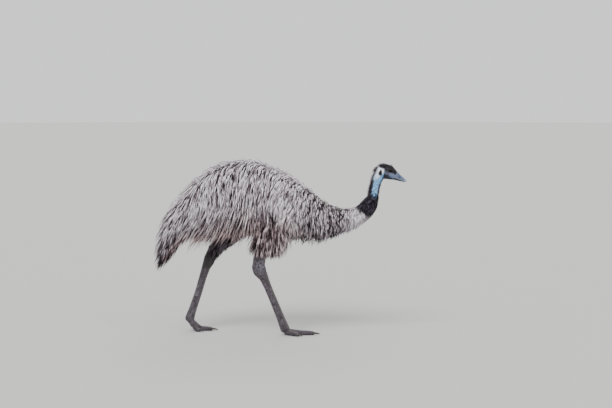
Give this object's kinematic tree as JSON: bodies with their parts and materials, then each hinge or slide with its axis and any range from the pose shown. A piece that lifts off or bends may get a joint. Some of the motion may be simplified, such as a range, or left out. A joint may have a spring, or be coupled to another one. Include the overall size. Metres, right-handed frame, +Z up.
{
  "type": "emu",
  "caption": "Life-size model of a walking emu with its neck held low and forward and its head raised, standing on flat feet.",
  "frame": {"origin": "on the floor under the middle of the bird's bounding box", "axes": "+X towards the bill, +Y to the bird's left, +Z up"},
  "size_m": [1.539, 0.4472, 1.0702],
  "materials": {
    "coat": "loose, shaggy two-branched feathers, grey-brown with dark tips and pale strands",
    "thigh_coat": "short shaggy feathers, darker than the back",
    "ruff": "black hair-like feathers round the middle of the neck",
    "blue_skin": "bare wrinkled pale blue skin under sparse black bristles",
    "head_coat": "very short black hair-like feathers over blue-grey skin",
    "ear_skin": "bare skin around the ear opening",
    "bill": "smooth blue-grey horn, darker ridge and paler tip",
    "eye": "wet, dark red-brown eye",
    "leg_scales": "dull grey-brown scales",
    "claw": "dark blunt horn"
  },
  "bodies": {
    "root": {"torso": "coat", "tail": "coat", "neck_base": "coat", "wing_right": "coat", "wing_left": "coat", "thigh_right": "thigh_coat", "thigh_left": "thigh_coat", "neck_ruff": "ruff", "neck_upper": "blue_skin", "head": "head_coat", "ear_right": "ear_skin", "ear_left": "ear_skin", "bill_upper": "bill", "bill_lower": "bill", "eye_right": "eye", "eye_left": "eye", "tarsus_right": "leg_scales", "tarsus_left": "leg_scales", "foot_right": "leg_scales", "foot_left": "leg_scales", "claw_right_inner": "claw", "claw_right_middle": "claw", "claw_right_outer": "claw", "claw_left_inner": "claw", "claw_left_middle": "claw", "claw_left_outer": "claw"}
  },
  "joints": []
}
